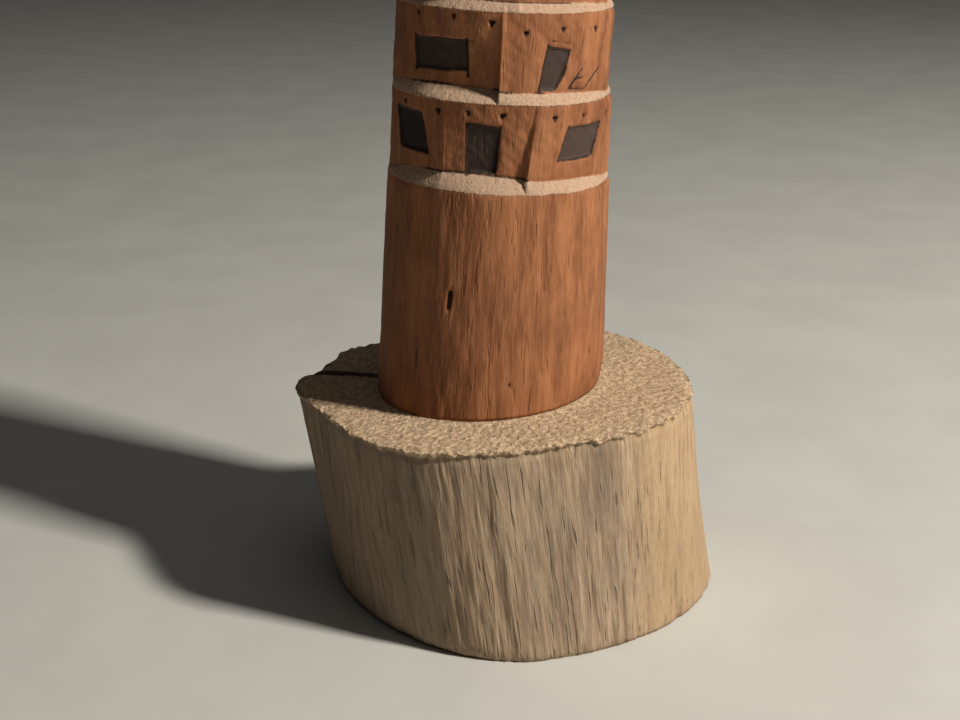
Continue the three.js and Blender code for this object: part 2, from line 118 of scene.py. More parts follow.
# Burnt and knifed lines: azimuth and height of the start and of the end, widths at both, depth
LINES = [
    (-54.5, 69.3, -53.1, 63.2, 0.55, 0.5, 0.3), (-54.6, 69.1, -17.2, 69.3, 0.2, 0.3, 0.2),
    (-21.7, 69.6, -21.3, 62.9, 0.5, 0.65, 0.3), (-53, 63.3, -22, 63.7, 0.15, 0.15, 0.15),
    (22.2, 69, 18.6, 60.8, 0.5, 0.6, 0.3), (34.4, 65.4, 32.9, 63.7, 0.3, 0.6, 0.3),
    (32.9, 63.7, 28.4, 61.1, 0.6, 0.3, 0.3), (22, 69.9, 36, 69.2, 0.2, 0.25, 0.15),
    (-46.2, 55.7, -42.2, 48.5, 0.35, 0.5, 0.25), (-70, 56, -47, 56, 0.4, 0.3, 0.2),
    (-18.8, 54.9, -18.7, 45.8, 0.6, 0.85, 0.3), (-18.5, 55, -3.4, 54.7, 0.6, 0.3, 0.25),
    (-1.2, 54.8, -3.4, 46.9, 0.45, 0.95, 0.35),
    (36, 54.6, 31.4, 48.4, 0.45, 0.4, 0.25), (31.4, 48.4, 57, 48.5, 0.35, 0.45, 0.25),
    (63.6, 54.6, 58.2, 48.7, 0.35, 0.45, 0.25), (36.5, 54.7, 62, 54.9, 0.15, 0.15, 0.1),
    (60.8, 64.7, 57.6, 63.5, 0.3, 0.4, 0.25), (57.6, 63.5, 48.8, 60.8, 0.4, 0.3, 0.25),
    (50.1, 63.2, 40.9, 62.8, 0.2, 0.55, 0.25), (46.6, 64.6, 42, 63, 0.25, 0.45, 0.25),
    (42, 63, 37.8, 61.3, 0.5, 0.7, 0.25), (38.5, 61.2, 49, 60.9, 0.35, 0.3, 0.2),
    (-22.7, 24, -23.3, 21.2, 1.0, 0.85, 0.7), (-41, 12, -41.4, 7.5, 0.25, 0.35, 0.3),
    (56, 14, 56.4, 10.5, 0.2, 0.3, 0.25), (8, 7.4, 8.4, 6.6, 0.5, 0.3, 0.3),
    (95, 54.2, 96, 45.4, 0.4, 0.6, 0.3), (111.2, 54.2, 112.2, 45.6, 0.4, 0.6, 0.3),
    (159, 54.6, 158, 48.2, 0.4, 0.5, 0.3), (187, 54.6, 186, 48.2, 0.4, 0.5, 0.3),
    (-129, 54.8, -128, 48.4, 0.4, 0.5, 0.3), (-105, 54.8, -104, 48.4, 0.4, 0.5, 0.3),
    (86, 69.8, 86, 64, 0.4, 0.5, 0.3), (108, 69.8, 108, 64, 0.4, 0.5, 0.3),
    (147, 69.4, 146, 61, 0.4, 0.6, 0.3), (163, 69.4, 162, 61, 0.4, 0.6, 0.3),
    (-145, 69.8, -144, 63.8, 0.4, 0.5, 0.3), (-119, 69.8, -118, 63.8, 0.4, 0.5, 0.3),
    (-49, 85.2, -50, 76.8, 0.4, 0.6, 0.3), (-33, 85.2, -34, 76.8, 0.4, 0.6, 0.3),
    (21, 85.6, 20, 79.8, 0.4, 0.5, 0.3), (47, 85.6, 46, 79.8, 0.4, 0.5, 0.3),
    (91, 85.4, 92, 79.6, 0.4, 0.5, 0.3), (117, 85.4, 118, 79.6, 0.4, 0.5, 0.3),
    (172, 85.2, 172, 76.8, 0.4, 0.6, 0.3), (188, 85.2, 188, 76.8, 0.4, 0.6, 0.3),
    (-119, 85.6, -120, 79.6, 0.4, 0.5, 0.3), (-93, 85.6, -94, 79.6, 0.4, 0.5, 0.3),
]

# Where a dark line of painted shade follows the foot of a storey's wall, in the crease above the ledge, from one
# azimuth to the other
FOOT_SHADE_LINES = [[(-44, 14), (150, 200)], [(-56, -30), (-6, 4), (16, 22), (210, 260)], [(-12, 38), (120, 150)]]

HEM = dict(height=92.6, width=18, depth=17.7)
ARMS = dict(height=130, width=17.3, depth=14.6, swell=1.4, at=119, rise=11, spread=62)
NECK = dict(height=151, width=10.4, depth=9.8)
BLANKET = dict(edge=0.9, foot=-6, neck=10, runs_out=(60, 150), fade=12)
FOLDS = dict(count=9, depth=0.45, start=50, full=80)
RUFF = dict(height=158, radius=15.4, waist=11.8, cuts=15, cut_depth=0.8, slant=4)
MASK = dict(height=183, radius=13.1, bulge=0.5)
CREST = dict(height=190, width=12.6, depth=3.2, squareness=5, steps=3, rise=5, tread=3.9)
CREST_TOP = CREST["height"] + CREST["steps"] * CREST["rise"]

# ---- The log's sizes ----
BASE_HEIGHT = 44
SEAT_GAP = 0.3
TOP_OUTLINE = dict(x=1.1, y=-1.2, radius=36.4, swells=[(2, 2.8, 75), (3, 1.25, 2), (4, -1.65, 14)])
FOOT_OUTLINE = dict(x=6.9, y=0, radius=36.4, swells=[(2, 3.0, 91), (3, 1.7, -1), (4, -0.5, 26)])
WORN_EDGE = dict(depth=0.8, azimuth=-45, spread=40)
LIP = dict(height=1.6, azimuth=-92, spread=11)
CRACK = dict(azimuth=-107, mouth=3.2, reach=17, foot=9, foot_reach=3.4)
# How many columns of the log's surface stand in a degree, by azimuth
LOG_COLUMNS = [(-180, 1.1), (-130, 1.5), (-125, 2.2), (-112, 2.4), (-110, 6.5), (-104, 6.5), (-102, 2.4),
               (-90, 2.0), (90, 2.0), (115, 1.1), (180, 1.1)]

# ---- Colours ----
STAIN = dict(dark=(0.195, 0.066, 0.023), light=(0.345, 0.132, 0.051), fibre=(0.39, 0.168, 0.073),
             pore=(0.11, 0.036, 0.014), handled=(0.155, 0.05, 0.019))
BARE_WOOD = dict(dark=(0.37, 0.235, 0.15), light=(0.46, 0.31, 0.205))
PAINT = dict(black=(0.020, 0.011, 0.008), grey=(0.058, 0.036, 0.026), worn=(0.075, 0.040, 0.024))
# Colour of the burnt lines and beam holes, and of the painted shade along the walls' feet
BURNT_AND_PAINTED_SHADE = (0.016, 0.006, 0.004)
# The log's colours: grey is painted shade, darkening the log's left side, which faces away from the key lamp
WEATHERED = dict(dark=(0.235, 0.155, 0.095), light=(0.43, 0.30, 0.185), fibre=(0.56, 0.42, 0.28),
                 pore=(0.10, 0.055, 0.032), dusty=(0.24, 0.18, 0.125), golden=(0.48, 0.315, 0.165),
                 stained=(0.20, 0.145, 0.10), grey=(0.20, 0.155, 0.12), groove=(0.09, 0.05, 0.03))
SAWN = dict(dark=(0.33, 0.215, 0.125), light=(0.66, 0.475, 0.29), patch=(0.38, 0.27, 0.17))
OLD_WOOD = (0.075, 0.042, 0.026)
FLOOR = dict(dark=(0.52, 0.505, 0.455), light=(0.55, 0.535, 0.48))

# ---- The studio's sizes: the camera's place is from the seat, the lamps' sizes and distances are in metres ----
CAMERA = dict(place=(-2.1, -272.07, 103.0), tilt=70, lens=54.075, sensor=36)
LAMPS = dict(
    key=dict(azimuth=62, elevation=39, distance=0.9, size=0.09, power=12, color=(1.0, 0.97, 0.92)),
    overhead=dict(azimuth=60, elevation=78, distance=1.0, size=0.8, power=0.8, color=(0.97, 0.98, 1.0)),
)
SKY = dict(color=(0.95, 0.97, 1.0, 1), strength=0.03)

# The doll's foot stands on the seat. Its box is a little wider than the foot, because the doll leans.
_lean = math.radians(LEAN)
_foot_slope = math.tan(math.radians(LEAN + TOP_SLOPE))
_low, _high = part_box("doll_figure")
SEAT = Vector((
    _low.x + MM * FOOT_RADIUS * (math.cos(_lean) + _foot_slope * math.sin(_lean)),
    (_low.y + _high.y) / 2,
    MM * (BASE_HEIGHT + SEAT_GAP),
))


# ---- Numbers ----

def lerp(start, end, share):
    return start + (end - start) * share


def smooth(value, start, end):
    """From 0 at `start` to 1 at `end`, as 3s^2 - 2s^3."""
    share = np.clip((value - start) / (end - start), 0, 1)
    return share * share * (3 - 2 * share)


def wrapped(azimuth):
    """The same azimuth between -180 and 180."""
    return (azimuth + 180) % 360 - 180


def noise(seed, across, along, turn=4096):
    """Smooth random numbers from -1 to 1: each whole step of the two coordinates has its own number, and
    values between them are mixed by 3s^2 - 2s^3. The first coordinate repeats after `turn` steps."""
    size = 256
    lattice = np.random.default_rng(seed).uniform(-1, 1, (size, size))
    i, j = np.floor(across), np.floor(along)
    u, v = across - i, along - j
    u, v = u * u * (3 - 2 * u), v * v * (3 - 2 * v)
    i, j = i.astype(int), j.astype(int)

    def at(di, dj):
        return lattice[((i + di) % turn) % size, (j + dj) % size]

    return lerp(lerp(at(0, 0), at(1, 0), u), lerp(at(0, 1), at(1, 1), u), v)


def round_noise(seed, azimuth, height, turn, length):
    """Noise round a column: `turn` cells in the turn, each `length` millimetres long."""
    return noise(seed, (azimuth / 360) % 1 * turn, height / length, turn)


def quarter_round(share):
    """From 1 at the start of a quarter ellipse to 0 at its end."""
    return np.sqrt(np.maximum(0, 1 - share * share))


# ---- Surfaces ----

def closed_surface(name, rings, masks):
    """A mesh through rings of points, from the first ring round to the last, with both ends closed on their
    middles. Each mask is a number for each point, kept as an attribute."""
    rows, columns, _ = rings.shape
    points = np.concatenate([rings.reshape(-1, 3), rings[:1].mean(axis=1), rings[-1:].mean(axis=1)])
    row, column = np.meshgrid(np.arange(rows - 1), np.arange(columns), indexing="ij")
    after = (column + 1) % columns
    quads = np.stack([
        row * columns + column, row * columns + after, (row + 1) * columns + after, (row + 1) * columns + column,
    ], axis=-1).reshape(-1, 4)
    column = np.arange(columns)
    after = (column + 1) % columns
    last = (rows - 1) * columns
    low = np.stack([np.full(columns, rows * columns), after, column], axis=-1)
    high = np.stack([np.full(columns, rows * columns + 1), last + column, last + after], axis=-1)
    mesh = bpy.data.meshes.new(name)
    mesh.from_pydata(points.tolist(), [], quads.tolist() + low.tolist() + high.tolist())
    mesh.shade_smooth()
    for mask, values in masks.items():
        values = values.reshape(rows, columns)
        ends = [values[0].mean(), values[-1].mean()]
        layer = mesh.attributes.new(mask, "FLOAT", "POINT")
        layer.data.foreach_set("value", np.append(values.ravel(), ends).astype(np.float32))
    piece = bpy.data.objects.new(name, mesh)
    bpy.context.collection.objects.link(piece)
    return piece


def inside_polygon(corners, azimuth, height, radius):
    """Distance in millimetres to a convex outline drawn on the doll's skin, negative inside it: the greatest
    of the distances to the lines through its sides."""
    middle = sum(corner[0] for corner in corners) / len(corners)
    per_degree = math.radians(1) * radius
    x = wrapped(azimuth - middle) * per_degree
    points = [((corner[0] - middle) * per_degree, corner[1]) for corner in corners]
    distance = np.full(azimuth.shape, -1e3)
    for (ax, ay), (bx, by) in zip(points, points[1:] + points[:1]):
        length = math.hypot(bx - ax, by - ay)
        distance = np.maximum(distance, ((x - ax) * (by - ay) - (height - ay) * (bx - ax)) / length)
    return distance


def along_line(line, azimuth, height, radius):
    """Distance in millimetres to a line on the doll's skin that tapers from one width to the other, negative
    inside it: the distance to the nearest point of the line, less half the width there."""
    az0, t0, az1, t1, width0, width1, _ = line
    per_degree = math.radians(1) * radius
    x, y = wrapped(azimuth - az0) * per_degree, height - t0
    dx, dy = wrapped(az1 - az0) * per_degree, t1 - t0
    share = np.clip((x * dx + y * dy) / (dx * dx + dy * dy), 0, 1)
    return np.hypot(x - share * dx, y - share * dy) - lerp(width0, width1, share) / 2


# ---- The doll's skin ----

def trunk_radius(height):
    return FOOT_RADIUS - TAPER * height


def section(height):
    """Half width, half depth and squareness of the doll at each height: the trunk tapers, the robe narrows
    straight and then rounds in to the neck, the ruff and the mask swell, and the crest steps in."""
    def share(start, end):
        return (height - start) / (end - start)

    step = np.clip(np.floor((height - CREST["height"]) / CREST["rise"]), 0, CREST["steps"] - 1)
    robe, shoulder = share(HEM["height"], ARMS["height"]), quarter_round(share(ARMS["height"], NECK["height"]))
    ruff = lerp(RUFF["waist"], RUFF["radius"], quarter_round(2 * share(NECK["height"], RUFF["height"]) - 1))
    mask = MASK["radius"] + MASK["bulge"] * np.sin(np.pi * share(RUFF["height"], MASK["height"]))
    crown_share = share(MASK["height"], CREST["height"])
    crown = quarter_round(crown_share)
    trunk = trunk_radius(height)
    bands = [height < HEM["height"], height < ARMS["height"], height < NECK["height"], height < RUFF["height"],
             height < MASK["height"], height < CREST["height"]]
    width = np.select(bands, [
        trunk, lerp(HEM["width"], ARMS["width"], robe), lerp(NECK["width"], ARMS["width"], shoulder), ruff, mask,
        lerp(CREST["width"], MASK["radius"], crown)], CREST["width"] - step * CREST["tread"])
    depth = np.select(bands, [
        trunk, lerp(HEM["depth"], ARMS["depth"], robe), lerp(NECK["depth"], ARMS["depth"], shoulder), ruff, mask,
        lerp(CREST["depth"], MASK["radius"], crown)], CREST["depth"])
    squareness = np.select([height < MASK["height"], height < CREST["height"]], [
        2, lerp(2, CREST["squareness"], np.clip(crown_share, 0, 1) ** 3)], CREST["squareness"])
    return width, depth, squareness


def wall_cut(storey, azimuth, share):
    """How deep a wall is cut behind the trunk's round: the depth goes evenly from the block's start to its
    end, a flat wall is deeper in its middle by its part of the distance to a straight chord, and all of it
    runs out towards the roof line as (1 - share)^0.8."""
    blocks = np.array(storey["blocks"], float)
    starts = lerp(blocks[:, 0], blocks[:, 1], share[..., None])
    first = starts[..., 0]
    turned = first + (azimuth - first) % 360
    index = (starts <= turned[..., None]).sum(axis=-1) - 1
    after = np.concatenate([starts[..., 1:], starts[..., :1] + 360], axis=-1)
    start = np.take_along_axis(starts, index[..., None], axis=-1)[..., 0]
    end = np.take_along_axis(after, index[..., None], axis=-1)[..., 0]
    cut0, cut1, flat = blocks[index, 2], blocks[index, 3], blocks[index, 4]
    half_span = np.radians(end - start) / 2
    from_middle = np.radians(turned - (start + end) / 2)
    chord = trunk_radius(storey["ledge"]) * (1 - np.cos(half_span) / np.cos(from_middle))
    depth = lerp(cut0, cut1, (turned - start) / (end - start)) + flat * chord
    return depth * np.maximum(0, 1 - share) ** CUT_FADE


def wall_foot(storey, azimuth):
    """Height of the wall's foot: its own line at the front, and at the back higher where the cut is deeper."""
    line = np.array(storey["foot"], float)
    azimuth = wrapped(azimuth)
    plain = storey["ledge"] + LEDGE_LEAST + LEDGE_PER_CUT * wall_cut(storey, azimuth, np.zeros_like(azimuth))
    return lerp(np.interp(azimuth, line[:, 0], line[:, 1]), plain, smooth(np.abs(azimuth), 78, 95))


def drum_relief(azimuth, height):
    """The drum is plain, with its lowest edge rounded on one side."""
    low = np.maximum(0, 1 - height / FOOT_WEAR["height"])
    return -FOOT_WEAR["depth"] * low * low * np.maximum(0, np.cos(np.radians(azimuth - FOOT_WEAR["azimuth"])))


def robe_relief(azimuth, height):
    """The blanket laps over itself at the front, hangs in folds at the back, and the arms swell under it."""
    edge = lerp(BLANKET["foot"], BLANKET["neck"], (height - HEM["height"]) / (NECK["height"] - HEM["height"]))
    lap = np.where(azimuth > edge, 1 - smooth(azimuth, *BLANKET["runs_out"]), 0)
    back = smooth(np.abs(azimuth), FOLDS["start"], FOLDS["full"])
    fold = FOLDS["depth"] * back * (0.5 + 0.5 * np.cos(np.radians(azimuth * FOLDS["count"])))
    arms = np.exp(-(((height - ARMS["at"]) / ARMS["rise"]) ** 2) - (azimuth / ARMS["spread"]) ** 2)
    fade = 1 - smooth(height, NECK["height"] - BLANKET["fade"], NECK["height"])
    return (BLANKET["edge"] * lap - fold + ARMS["swell"] * arms) * fade


def ruff_relief(azimuth, height):
    """Slanting cuts round the ruff, deepest at its widest."""
    middle = (NECK["height"] + RUFF["height"]) / 2
    slanted = np.radians((azimuth + RUFF["slant"] * (height - middle)) * RUFF["cuts"])
    widest = 1 - np.abs(height - middle) / (RUFF["height"] - middle)
    return -RUFF["cut_depth"] * widest * (0.5 + 0.5 * np.cos(slanted))


# ---- The doll's grid of rows and columns ----

STEP_HALF = 0.22  # degrees from a wall's upright step to the columns on both sides of it
FRONT = dict(half=78, columns=195)
BACK_COLUMNS = 85


def base_columns():
    """Azimuths of the columns, close together at the front and wider apart at the back."""
    front = np.linspace(-FRONT["half"], FRONT["half"], FRONT["columns"])
    back = np.linspace(FRONT["half"], 360 - FRONT["half"], BACK_COLUMNS + 2)[1:-1]
    return np.concatenate([front, back])


def shifts_to(columns, steps):
    """How far each column moves so that two neighbours stand just before and just after each step: the
    shifts at those columns run evenly into each other over the columns between."""
    count = len(columns)
    knots = []
    for nominal, azimuth in steps:
        turned = columns[0] + (nominal - columns[0]) % 360
        index = min(int(np.searchsorted(columns, turned)), count - 1) - 1
        place = turned + (azimuth - nominal)
        knots += [(index, place - STEP_HALF - columns[index]), (index + 1, place + STEP_HALF - columns[index + 1])]
    knots.sort()
    index, shift = np.array(knots).T
    index = np.concatenate([index - count, index, index + count])
    return np.interp(np.arange(count), index, np.tile(shift, 3))


def doll_rows():
    """The doll's rows from its foot to its top, each with its azimuths, heights, relief and distance in
    millimetres from bare wood, which is negative on the ledges and the crest's top."""
    columns = base_columns()
    rows = []

    def add(azimuth, height, relief, bare):
        full = np.ones_like(columns)
        rows.append([azimuth * full, height * full, relief * full, bare * full])

    def worn(storey, azimuth):
        depth, middle = storey["wear"]
        return depth * np.exp(-((wrapped(azimuth - middle) / 22) ** 2))

    def storey_shift(storey, share):
        return shifts_to(columns, [(block[0], lerp(block[0], block[1], share)) for block in storey["blocks"]])

    first = storey_shift(STOREYS[0], 0)
    for share in np.linspace(0, 1, 62)[:-1]:
        azimuth = columns + first * smooth(share, 0.6, 1)
        foot = FOOT_RADIUS * np.sin(np.radians(azimuth)) * _foot_slope
        height = lerp(foot, STOREYS[0]["ledge"] - 0.3, share)
        add(azimuth, height, drum_relief(azimuth, height), STOREYS[0]["ledge"] - height)
    for index, storey in enumerate(STOREYS):
        azimuth = columns + storey_shift(storey, 0)
        cut = wall_cut(storey, azimuth, np.zeros_like(azimuth))
        foot = wall_foot(storey, azimuth)
        for share in (0, 0.12, 0.35, 0.6, 0.85, 1):
            inner = np.minimum(share, 1 - share) * (foot - storey["ledge"]) * 1.5
            relief = np.minimum(-cut * share, -worn(storey, azimuth) * (1 - share) ** 2)
            add(azimuth, lerp(storey["ledge"], foot, share), relief, -inner)
        steps = 38 if index < 2 else 24
        for share in np.linspace(0, 1, steps + 1)[1:-1]:
            share_now = share if share < 0.9 else lerp(0.9, 0.995, (share - 0.9) / (1 - 1 / steps - 0.9))
            azimuth = columns + storey_shift(storey, share_now)
            foot = wall_foot(storey, azimuth)
            height = lerp(foot, storey["roof"], share_now)
            relief = -wall_cut(storey, azimuth, np.full_like(azimuth, share_now))
            if index < 2:
                relief = np.minimum(relief, -worn(STOREYS[index + 1], azimuth) * smooth(share_now, 0.86, 1))
            add(azimuth, height, relief, np.minimum(height - foot, storey["roof"] - height))
    roof = STOREYS[-1]["roof"]
    hem = shifts_to(columns, [(BLANKET["foot"], BLANKET["foot"])])
    for share in (0, 0.1, 0.3, 0.5, 0.7, 0.9):
        radius = lerp(trunk_radius(roof), HEM["width"], share)
        height = lerp(roof, HEM["height"], share)
        add(columns + hem, height, radius - trunk_radius(height), -min(share, 1 - share) * 2)
    for share in np.concatenate([np.linspace(0, 0.96, 54), [0.985]]):
        edge = lerp(BLANKET["foot"], BLANKET["neck"], share)
        azimuth = columns + shifts_to(columns, [(BLANKET["foot"], edge)])
        height = lerp(HEM["height"], NECK["height"], share) + 0.001
        add(azimuth, height, robe_relief(wrapped(azimuth), height), height - HEM["height"])
    for share in np.linspace(0, 0.995, 17):
        height = lerp(NECK["height"], RUFF["height"], share)
        add(columns, height, ruff_relief(columns, height), np.abs(share - 0.5) * 7 - 1.2)
    for share in np.linspace(0, 0.98, 30):
        add(columns, lerp(RUFF["height"], MASK["height"], share), 0, 5)
    for share in (0, 0.12, 0.25, 0.4, 0.55, 0.68, 0.78, 0.86, 0.92, 0.96, 0.985, 0.998):
        add(columns, lerp(MASK["height"], CREST["height"], share), 0, 5)
    for step in range(CREST["steps"]):
        foot = CREST["height"] + step * CREST["rise"]
        for up in (0.02, 1.2, 2.4, 3.6, 4.7, CREST["rise"] - 0.01):
            add(columns, foot + up, 0, CREST["rise"] - up)
    for share in (0.9, 0.7, 0.45, 0.2):
        width = (CREST["width"] - (CREST["steps"] - 1) * CREST["tread"])
        add(columns, CREST_TOP, -width * (1 - share), -1)
    return [np.array(part) for part in zip(*rows)]


def doll_masks(azimuth, height):
    """Distances to the openings, lines and beam holes, and the paint's greyness in the nearest opening."""
    pane, grey = np.full(azimuth.shape, 9.0), np.zeros(azimuth.shape)
    line, hole = np.full(azimuth.shape, 9.0), np.full(azimuth.shape, 9.0)
    line_relief = np.zeros(azimuth.shape)
    for corners, tone in OPENINGS:
        radius = MASK["radius"] if corners[0][1] > HEM["height"] else trunk_radius(corners[0][1]) - 1
        distance = inside_polygon(corners, azimuth, height, radius)
        grey = np.where(distance < pane, tone, grey)
        pane = np.minimum(pane, distance)
    for stroke in LINES:
        distance = along_line(stroke, azimuth, height, trunk_radius(stroke[1]) - 1)
        line = np.minimum(line, distance)
        width = (stroke[4] + stroke[5]) / 2
        line_relief = np.minimum(line_relief, -stroke[6] * (1 - smooth(distance, -width / 2, 0.15)))
    half = BEAM_HOLE["width"] / 2
    for number, (az, t) in enumerate(spot for row in BEAM_ROWS for spot in row):
        per_degree = math.radians(1) * trunk_radius(t)
        wide = half / per_degree * (1 + 0.25 * math.sin(number * 2.3))
        tip = az + wide * 0.5 * math.sin(number * 1.7)
        corners = [(tip, t - half * BEAM_HOLE["drop"]), (az + wide, t + half * 0.8), (az - wide, t + half)]
        hole = np.minimum(hole, inside_polygon(corners, azimuth, height, trunk_radius(t)))
    # Painted shade: a dark line along the crease at each wall's foot, kept in the same mask as the burnt lines
    for storey, spans in zip(STOREYS, FOOT_SHADE_LINES):
        foot = wall_foot(storey, azimuth)
        for start, end in spans:
            beyond = np.maximum(0, np.abs(wrapped(azimuth - (start + end) / 2)) - (end - start) / 2)
            distance = np.hypot(height - foot - 0.15, beyond * 0.36) - 0.22
            line = np.minimum(line, distance)
    return dict(pane=pane, grey=grey, line=line, hole=hole), line_relief


def doll_tool_marks(azimuth, height, walls):
    """The knife's and the rasp's marks: long shallow flats down the drum, short cuts on the walls, and fine
    fibres on all of it."""
    flats = 0.10 * round_noise(11, azimuth, height, 34, 22)
    dashes = 0.07 * round_noise(12, azimuth, height, 110, 5.5) + 0.05 * round_noise(13, azimuth, height, 210, 2.6)
    curls = 0.07 * round_noise(14, azimuth + 3.2 * height, height, 90, 2.2)
    curls += 0.05 * round_noise(15, azimuth - 2.1 * height, height, 150, 1.2)
    return flats + np.where(walls, curls, dashes)


def make_doll():
    """The doll's skin: at each azimuth and height, x is the half width and the relief times the sine, y the
    half depth and the relief times the cosine, both brought to the section's squareness, and the whole is
    leant over on its foot."""
    azimuth, height, relief, bare = doll_rows()
    width, depth, squareness = section(height)
    masks, line_relief = doll_masks(azimuth, height)
    walls = (height > STOREYS[0]["ledge"]) & (height < HEM["height"])
    relief = relief - PANE_DEPTH * smooth(-masks["pane"], 0, 0.35)
    relief = relief - BEAM_HOLE["depth"] * smooth(-masks["hole"], -0.1, 0.35) + line_relief
    on_ledge = smooth(-bare, -0.1, 0.3) * (height < HEM["height"])
    rough = doll_tool_marks(azimuth, height, walls)
    fuzz = 0.05 * round_noise(16, azimuth, height * 3, 300, 1) + 0.05 * round_noise(17, azimuth, height * 3, 170, 1)
    relief = relief + lerp(rough, fuzz, on_ledge) * smooth(CREST["height"] - height, -8, 2)
    rim = np.exp(-(bare / 0.35) ** 2) * (height < HEM["height"] + 1)
    relief = relief - rim * (0.06 + 0.1 * np.abs(round_noise(18, azimuth, height, 260, 1.5)))

    def even(value):
        return np.sign(value) * np.abs(value) ** (2 / squareness)

    x = (width + relief) * even(np.sin(np.radians(azimuth)))
    y = -(depth + relief) * even(np.cos(np.radians(azimuth)))
    z = height + on_ledge * 0.06 * round_noise(19, azimuth, height, 240, 1.5)
    shell = np.stack([x, y, z], axis=-1)
    foot = shell[0]
    sole = np.stack([np.concatenate([foot[:, :2] * share, foot[:, 2:] * share], axis=-1)
                     for share in (0.05, 0.4, 0.8, 0.97)])
    shell = np.concatenate([sole, shell])
    masks["bare"] = bare
    masks = {key: np.concatenate([np.repeat(value[:1], len(sole), axis=0), value]) for key, value in masks.items()}
    shell[..., 0] -= BOW["depth"] * smooth(shell[..., 2], 0, BOW["height"])
    leant = np.stack([
        shell[..., 0] * math.cos(_lean) + shell[..., 2] * math.sin(_lean),
        shell[..., 1],
        shell[..., 2] * math.cos(_lean) - shell[..., 0] * math.sin(_lean),
    ], axis=-1)
    return closed_surface("carved_doll", leant * MM + np.array(SEAT), masks)


# ---- The log ----

def outline(form, azimuth, lip=0):
    """An outline about its own middle: a round, with each swell adding its height times cos(n (azimuth -
    crest)), and the lip a bell curve."""
    radius = form["radius"] + lip * np.exp(-((wrapped(azimuth - LIP["azimuth"]) / LIP["spread"]) ** 2))
    for count, height, crest in form["swells"]:
        radius = radius + height * np.cos(count * np.radians(azimuth - crest))
    return radius


def log_columns():
    """Azimuths of the log's columns: closest at the crack, close at the front, wider apart at the back."""
    density = np.array(LOG_COLUMNS, float)
    fine = np.linspace(-180, 180, 7201)
    weight = np.interp(fine, density[:, 0], density[:, 1])
    total = np.concatenate([[0], np.cumsum((weight[1:] + weight[:-1]) / 2 * 0.05)])
    count = int(total[-1])
    return np.interp(np.arange(count) / count * total[-1], total, fine)


